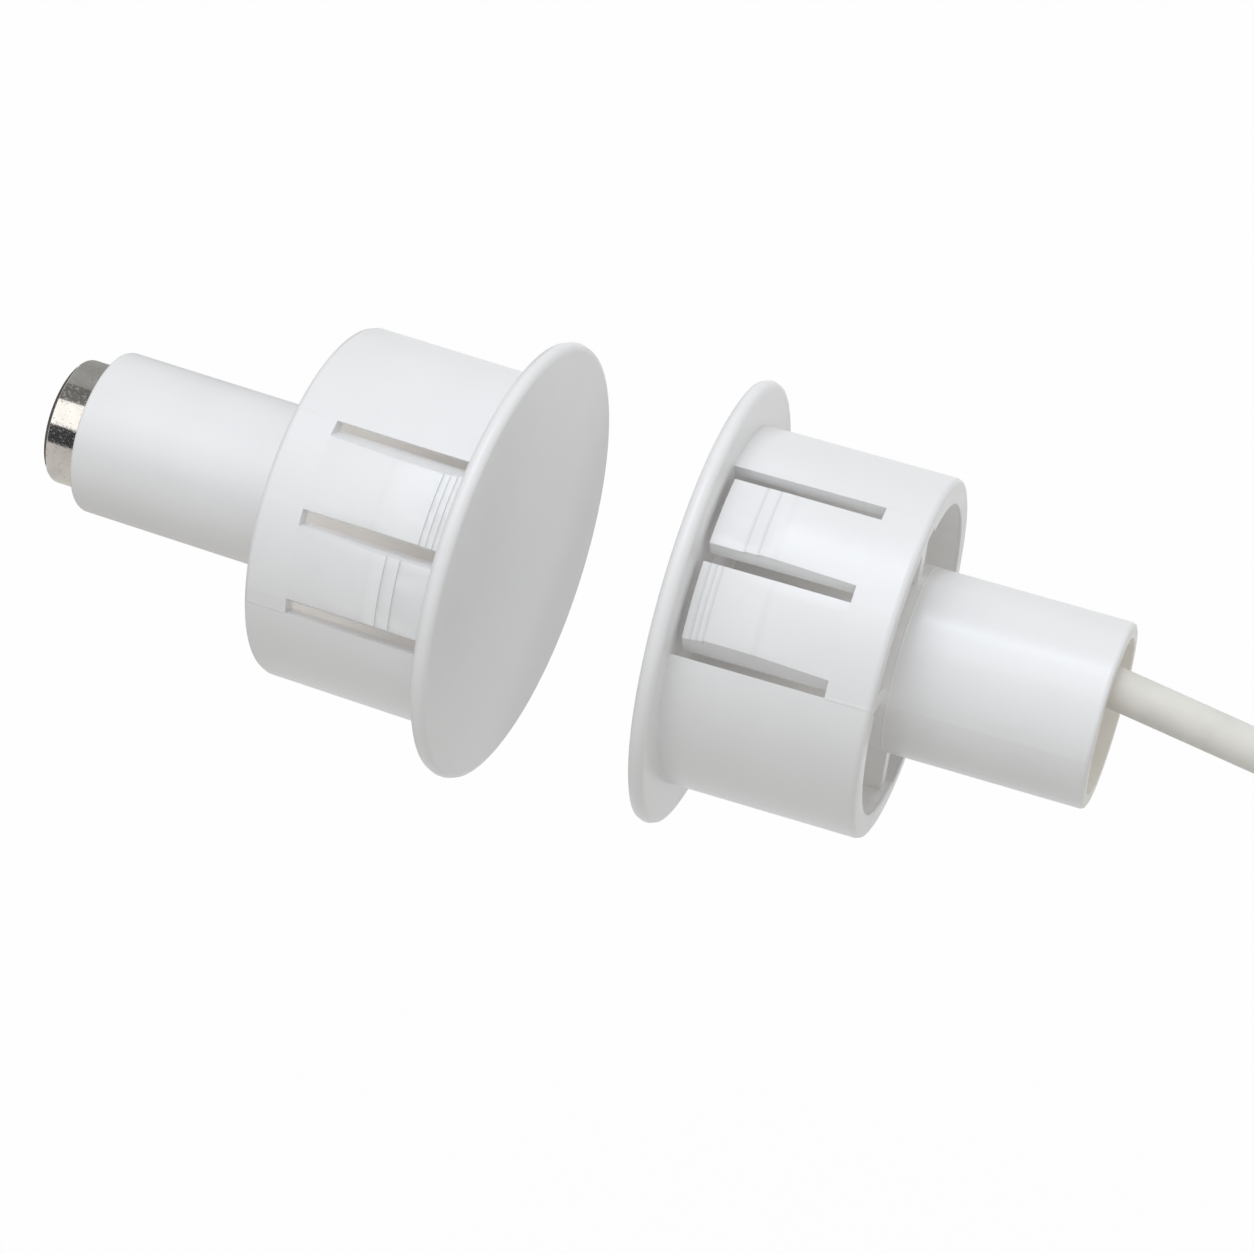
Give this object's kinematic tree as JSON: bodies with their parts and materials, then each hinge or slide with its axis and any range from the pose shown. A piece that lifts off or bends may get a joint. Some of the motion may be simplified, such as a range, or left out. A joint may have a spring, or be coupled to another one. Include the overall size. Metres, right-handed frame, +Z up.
{
  "type": "recessed magnetic contact",
  "caption": "Recessed magnetic door contact: a magnet plug and a reed switch plug, each a flanged snap-in housing with a tube, and a round two-core lead.",
  "frame": {"origin": "centre of the hole in the door frame, in the plane of the switch half's seating face, the back of its flange", "axes": "+X along the switch half's axis from its flange to the cable end, +Z up, +Y level"},
  "size_m": [0.1389, 0.0323, 0.0707],
  "materials": {
    "housing": "smooth moulded plastic, semi-gloss",
    "magnet": "bright nickel plating",
    "resin": "glossy poured resin",
    "glass": "clear",
    "reed": "plain nickel iron",
    "sleeve": "matte",
    "solder": "bright solder",
    "core_dark": "satin",
    "core_light": "satin",
    "copper": "bare copper",
    "tinned_copper": "tinned copper strands",
    "jacket": "satin flexible jacket",
    "tie": "natural nylon"
  },
  "bodies": {
    "root": {"magnet_housing": "housing", "magnet": "magnet", "switch_housing": "housing", "potting": "resin", "reed_glass": "glass", "reed_blade_front": "reed", "reed_blade_rear": "reed", "lead_sleeve": "sleeve", "solder_front": "solder", "solder_rear": "solder", "core_a_start": "core_dark", "core_b_start": "core_light", "conductor_a_start": "copper", "conductor_b_start": "copper", "cable_run": "jacket", "cable_coil": "jacket", "coil_tie": "tie", "core_a_end": "core_dark", "core_b_end": "core_light", "conductor_a_end": "tinned_copper", "conductor_b_end": "tinned_copper"}
  },
  "joints": []
}
